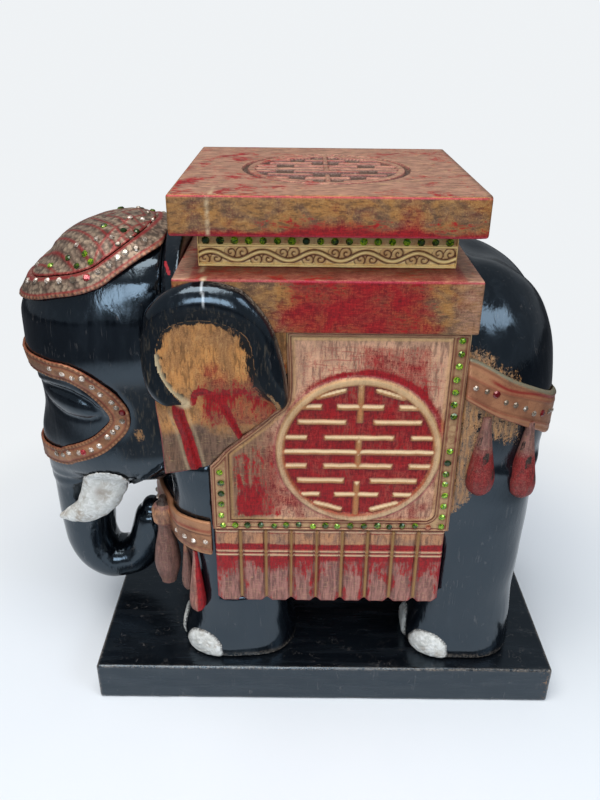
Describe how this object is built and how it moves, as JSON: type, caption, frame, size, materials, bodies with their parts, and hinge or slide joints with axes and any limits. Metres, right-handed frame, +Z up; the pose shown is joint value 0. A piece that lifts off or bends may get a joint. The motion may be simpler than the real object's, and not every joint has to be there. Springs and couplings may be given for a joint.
{
  "type": "elephant table",
  "caption": "Carved and lacquered elephant on a plinth that carries a square side-table top on its back, with saddle cloths, jewelled bands, tassels, tusks and painted toenails.",
  "frame": {"origin": "centre of the flat underside of the plinth", "axes": "+X from the head towards the rump, +Y towards the right flank of the elephant, +Z up"},
  "size_m": [0.4588, 0.234, 0.45],
  "materials": {
    "black_lacquer": "glossy black lacquer over carved wood, worn on the plinth",
    "red_gold": "deep red lacquer with gold rubbed over it, satin",
    "crimson": "crimson paint, gold on the raised lines, satin",
    "frieze_gold": "carved relief in gold leaf with dark red outlines, satin",
    "band_bronze": "pressed relief bands in silver and bronze paint with red edge lines",
    "gem_strip": "gold strip set with flat-backed stones",
    "gem_glass": "faceted flat-backed stones, green, clear and red",
    "tusk_white": "roughly brushed white paint",
    "dowel_wood": "bare wood",
    "screw_steel": "plain steel"
  },
  "bodies": {
    "root": {"plinth": "black_lacquer", "leg_front_left": "black_lacquer", "leg_front_right": "black_lacquer", "leg_rear_left": "black_lacquer", "leg_rear_right": "black_lacquer", "plinth_screw_front_left": "screw_steel", "toenail_front_left_outer": "tusk_white", "toenail_front_left_front": "tusk_white", "toenail_front_left_inner": "tusk_white", "plinth_screw_front_right": "screw_steel", "toenail_front_right_outer": "tusk_white", "toenail_front_right_front": "tusk_white", "toenail_front_right_inner": "tusk_white", "plinth_screw_rear_left": "screw_steel", "toenail_rear_left_outer": "tusk_white", "toenail_rear_left_front": "tusk_white", "toenail_rear_left_inner": "tusk_white", "plinth_screw_rear_right": "screw_steel", "toenail_rear_right_outer": "tusk_white", "toenail_rear_right_front": "tusk_white", "toenail_rear_right_inner": "tusk_white", "torso": "black_lacquer", "head": "black_lacquer", "trunk": "black_lacquer", "tusk_left": "tusk_white", "tusk_right": "tusk_white", "ear_left": "black_lacquer", "ear_right": "black_lacquer", "crupper_band": "band_bronze", "tail": "black_lacquer", "breast_band": "band_bronze", "head_cap": "band_bronze", "cap_band": "band_bronze", "face_strap": "band_bronze", "saddle_cloth_left": "red_gold", "saddle_cloth_right": "red_gold", "gem_border_left": "gem_strip", "gem_border_right": "gem_strip", "cloth_fringe_left": "crimson", "cloth_fringe_right": "crimson", "neck_drape_left": "red_gold", "neck_drape_right": "red_gold", "rear_tassel_front_left": "crimson", "rear_tassel_front_right": "crimson", "rear_tassel_back_left": "crimson", "rear_tassel_back_right": "crimson", "breast_tassel_outer_left": "crimson", "breast_tassel_outer_right": "crimson", "breast_tassel_middle_left": "red_gold", "breast_tassel_middle_right": "red_gold", "breast_tassel_knot_left": "red_gold", "breast_tassel_knot_right": "red_gold", "saddle_box": "red_gold", "frieze_collar": "frieze_gold", "table_top": "red_gold", "top_dowel_1": "dowel_wood", "top_dowel_2": "dowel_wood", "head_dowel_1": "dowel_wood", "head_dowel_2": "dowel_wood"}
  },
  "joints": []
}
